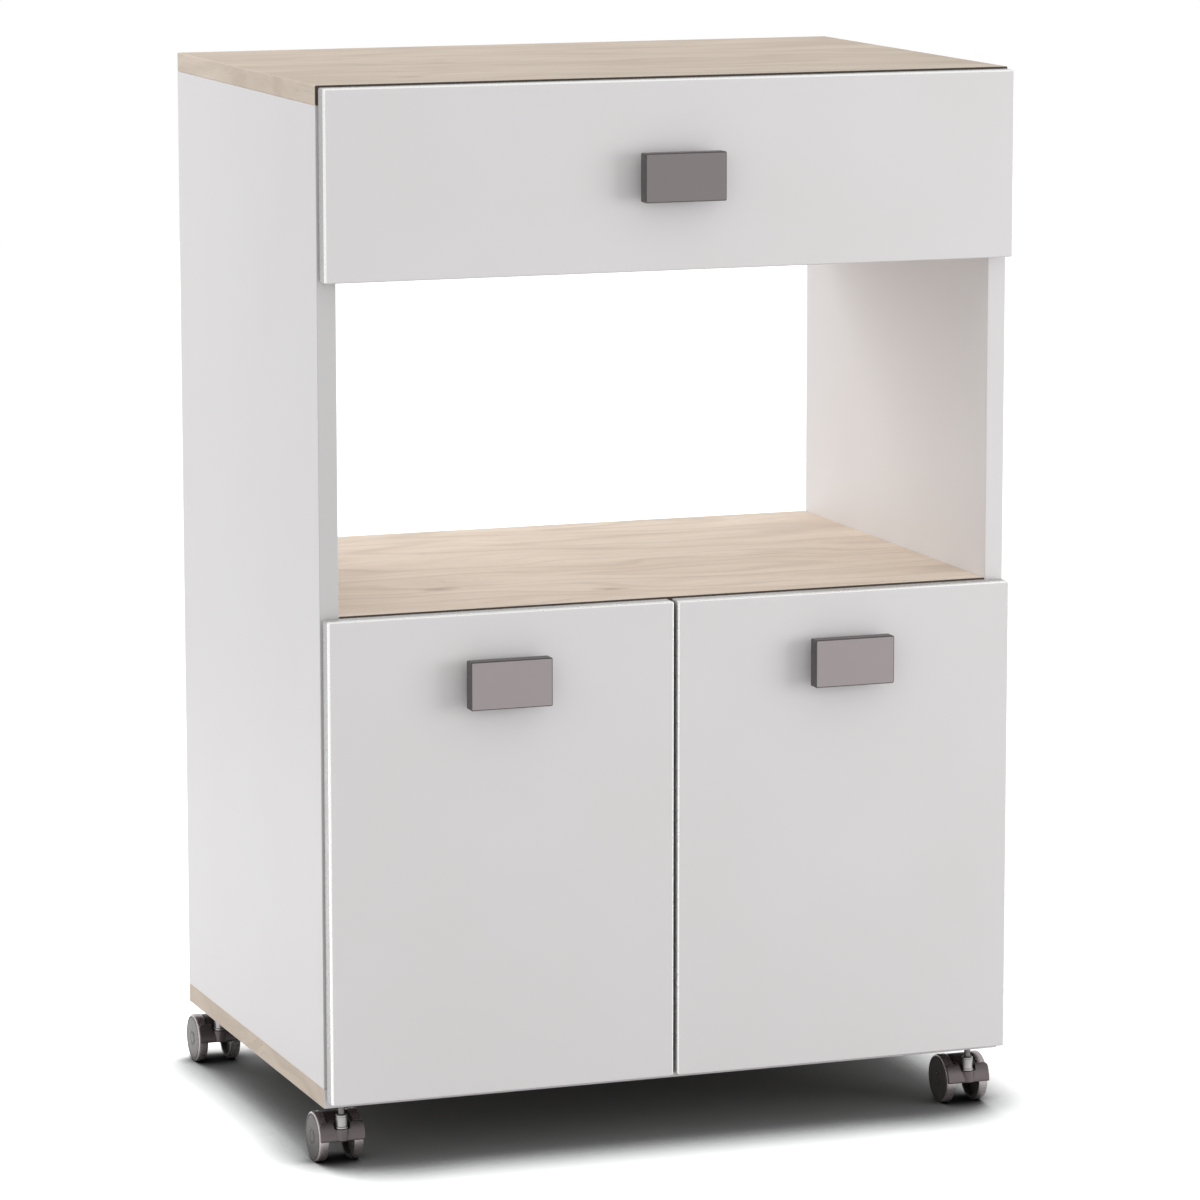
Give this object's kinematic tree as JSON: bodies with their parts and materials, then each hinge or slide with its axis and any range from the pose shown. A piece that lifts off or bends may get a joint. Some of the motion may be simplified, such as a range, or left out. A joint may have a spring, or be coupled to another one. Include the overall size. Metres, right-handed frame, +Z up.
{
  "type": "microwave cart",
  "caption": "Two-tone kitchen cart on swivel casters: open microwave niche between a drawer and a two-door cupboard, block handles, oak-look top and shelf.",
  "frame": {"origin": "bottom centre of the bounding box, on the floor", "axes": "+Z up, front with the doors facing -Y, +X to the right as seen from the front"},
  "size_m": [0.6, 0.4554, 0.888],
  "materials": {
    "oak_board": "oak decor melamine, satin",
    "white_board": "white melamine, satin",
    "white_front": "white melamine, satin, banded edges",
    "hardboard": "white-faced hardboard",
    "handle_grey": "warm grey, matt",
    "pin_steel": "zinc plated",
    "hinge_steel": "nickel plated",
    "runner_enamel": "white epoxy coated",
    "roller_nylon": "natural nylon",
    "caster_steel": "zinc plated",
    "caster_plastic": "anthracite, satin",
    "wheel_plastic": "anthracite, satin"
  },
  "bodies": {
    "cabinet": {"bottom_panel": "oak_board", "top_panel": "oak_board", "side_panel_left": "white_board", "side_panel_right": "white_board", "niche_shelf": "oak_board", "niche_ceiling": "white_board", "cupboard_back": "hardboard", "drawer_bay_back": "hardboard", "cupboard_shelf": "white_board", "shelf_pin_front_left": "pin_steel", "shelf_pin_front_right": "pin_steel", "shelf_pin_rear_left": "pin_steel", "shelf_pin_rear_right": "pin_steel", "cabinet_runner_left": "runner_enamel", "cabinet_runner_right": "runner_enamel", "hinge_arm_lower_left": "hinge_steel", "hinge_arm_upper_left": "hinge_steel", "hinge_arm_lower_right": "hinge_steel", "hinge_arm_upper_right": "hinge_steel", "caster_front_left_stem": "caster_steel", "caster_front_right_stem": "caster_steel", "caster_rear_left_stem": "caster_steel", "caster_rear_right_stem": "caster_steel"},
    "drawer": {"drawer_front": "white_front", "drawer_side_left": "white_board", "drawer_side_right": "white_board", "drawer_back": "white_board", "drawer_bottom": "hardboard", "drawer_handle": "handle_grey", "drawer_runner_left": "runner_enamel", "drawer_runner_right": "runner_enamel"},
    "left_door": {"door_left": "white_front", "hinge_cup_lower_left": "hinge_steel", "hinge_cup_upper_left": "hinge_steel", "door_handle_left": "handle_grey"},
    "right_door": {"door_right": "white_front", "hinge_cup_lower_right": "hinge_steel", "hinge_cup_upper_right": "hinge_steel", "door_handle_right": "handle_grey"},
    "left_cabinet_roller": {"cabinet_roller_left": "roller_nylon"},
    "right_cabinet_roller": {"cabinet_roller_right": "roller_nylon"},
    "left_drawer_roller": {"drawer_roller_left": "roller_nylon"},
    "right_drawer_roller": {"drawer_roller_right": "roller_nylon"},
    "front_left_caster": {"caster_front_left_hood": "caster_plastic", "caster_front_left_axle": "caster_steel"},
    "front_left_caster_left_wheel": {"caster_front_left_wheel_left": "wheel_plastic"},
    "front_left_caster_right_wheel": {"caster_front_left_wheel_right": "wheel_plastic"},
    "front_right_caster": {"caster_front_right_hood": "caster_plastic", "caster_front_right_axle": "caster_steel"},
    "front_right_caster_left_wheel": {"caster_front_right_wheel_left": "wheel_plastic"},
    "front_right_caster_right_wheel": {"caster_front_right_wheel_right": "wheel_plastic"},
    "rear_left_caster": {"caster_rear_left_hood": "caster_plastic", "caster_rear_left_axle": "caster_steel"},
    "rear_left_caster_left_wheel": {"caster_rear_left_wheel_left": "wheel_plastic"},
    "rear_left_caster_right_wheel": {"caster_rear_left_wheel_right": "wheel_plastic"},
    "rear_right_caster": {"caster_rear_right_hood": "caster_plastic", "caster_rear_right_axle": "caster_steel"},
    "rear_right_caster_left_wheel": {"caster_rear_right_wheel_left": "wheel_plastic"},
    "rear_right_caster_right_wheel": {"caster_rear_right_wheel_right": "wheel_plastic"}
  },
  "joints": [
    {"name": "drawer_slide", "type": "slide", "parent": "cabinet", "child": "drawer", "axis": [0, -1, 0], "range_m": [0, 0.26]},
    {"name": "left_door_hinge", "type": "hinge", "parent": "cabinet", "child": "left_door", "pos_m": [-0.2915, -0.19816, 0.259], "axis": [0, 0, -1], "range_deg": [0, 100]},
    {"name": "right_door_hinge", "type": "hinge", "parent": "cabinet", "child": "right_door", "pos_m": [0.2915, -0.19816, 0.259], "axis": [0, 0, 1], "range_deg": [0, 100]},
    {"name": "left_cabinet_roller_spin", "type": "hinge", "parent": "cabinet", "child": "left_cabinet_roller", "pos_m": [-0.27895, -0.17216, 0.7674], "axis": [1, 0, 0], "continuous": true},
    {"name": "left_drawer_roller_spin", "type": "hinge", "parent": "drawer", "child": "left_drawer_roller", "pos_m": [-0.27895, 0.14684, 0.7668], "axis": [1, 0, 0], "continuous": true},
    {"name": "right_cabinet_roller_spin", "type": "hinge", "parent": "cabinet", "child": "right_cabinet_roller", "pos_m": [0.27895, -0.17216, 0.7674], "axis": [1, 0, 0], "continuous": true},
    {"name": "right_drawer_roller_spin", "type": "hinge", "parent": "drawer", "child": "right_drawer_roller", "pos_m": [0.27895, 0.14684, 0.7668], "axis": [1, 0, 0], "continuous": true},
    {"name": "front_left_swivel", "type": "hinge", "parent": "cabinet", "child": "front_left_caster", "pos_m": [-0.28, -0.17016, 0.031], "axis": [0, 0, 1], "continuous": true},
    {"name": "front_left_left_wheel_spin", "type": "hinge", "parent": "front_left_caster", "child": "front_left_caster_left_wheel", "pos_m": [-0.295, -0.15116, 0.02082], "axis": [1, 0, 0], "continuous": true},
    {"name": "front_left_right_wheel_spin", "type": "hinge", "parent": "front_left_caster", "child": "front_left_caster_right_wheel", "pos_m": [-0.265, -0.15116, 0.02082], "axis": [1, 0, 0], "continuous": true},
    {"name": "front_right_swivel", "type": "hinge", "parent": "cabinet", "child": "front_right_caster", "pos_m": [0.28, -0.17016, 0.031], "axis": [0, 0, 1], "continuous": true},
    {"name": "front_right_left_wheel_spin", "type": "hinge", "parent": "front_right_caster", "child": "front_right_caster_left_wheel", "pos_m": [0.265, -0.15116, 0.02082], "axis": [1, 0, 0], "continuous": true},
    {"name": "front_right_right_wheel_spin", "type": "hinge", "parent": "front_right_caster", "child": "front_right_caster_right_wheel", "pos_m": [0.295, -0.15116, 0.02082], "axis": [1, 0, 0], "continuous": true},
    {"name": "rear_left_swivel", "type": "hinge", "parent": "cabinet", "child": "rear_left_caster", "pos_m": [-0.28, 0.18784, 0.031], "axis": [0, 0, 1], "continuous": true},
    {"name": "rear_left_left_wheel_spin", "type": "hinge", "parent": "rear_left_caster", "child": "rear_left_caster_left_wheel", "pos_m": [-0.295, 0.20684, 0.02082], "axis": [1, 0, 0], "continuous": true},
    {"name": "rear_left_right_wheel_spin", "type": "hinge", "parent": "rear_left_caster", "child": "rear_left_caster_right_wheel", "pos_m": [-0.265, 0.20684, 0.02082], "axis": [1, 0, 0], "continuous": true},
    {"name": "rear_right_swivel", "type": "hinge", "parent": "cabinet", "child": "rear_right_caster", "pos_m": [0.28, 0.18784, 0.031], "axis": [0, 0, 1], "continuous": true},
    {"name": "rear_right_left_wheel_spin", "type": "hinge", "parent": "rear_right_caster", "child": "rear_right_caster_left_wheel", "pos_m": [0.265, 0.20684, 0.02082], "axis": [1, 0, 0], "continuous": true},
    {"name": "rear_right_right_wheel_spin", "type": "hinge", "parent": "rear_right_caster", "child": "rear_right_caster_right_wheel", "pos_m": [0.295, 0.20684, 0.02082], "axis": [1, 0, 0], "continuous": true}
  ],
  "couplings": [
    {"joint": "left_cabinet_roller_spin", "follows": "drawer_slide", "rad_per_m": 117.65},
    {"joint": "left_drawer_roller_spin", "follows": "drawer_slide", "rad_per_m": 117.65},
    {"joint": "right_cabinet_roller_spin", "follows": "drawer_slide", "rad_per_m": 117.65},
    {"joint": "right_drawer_roller_spin", "follows": "drawer_slide", "rad_per_m": 117.65}
  ]
}
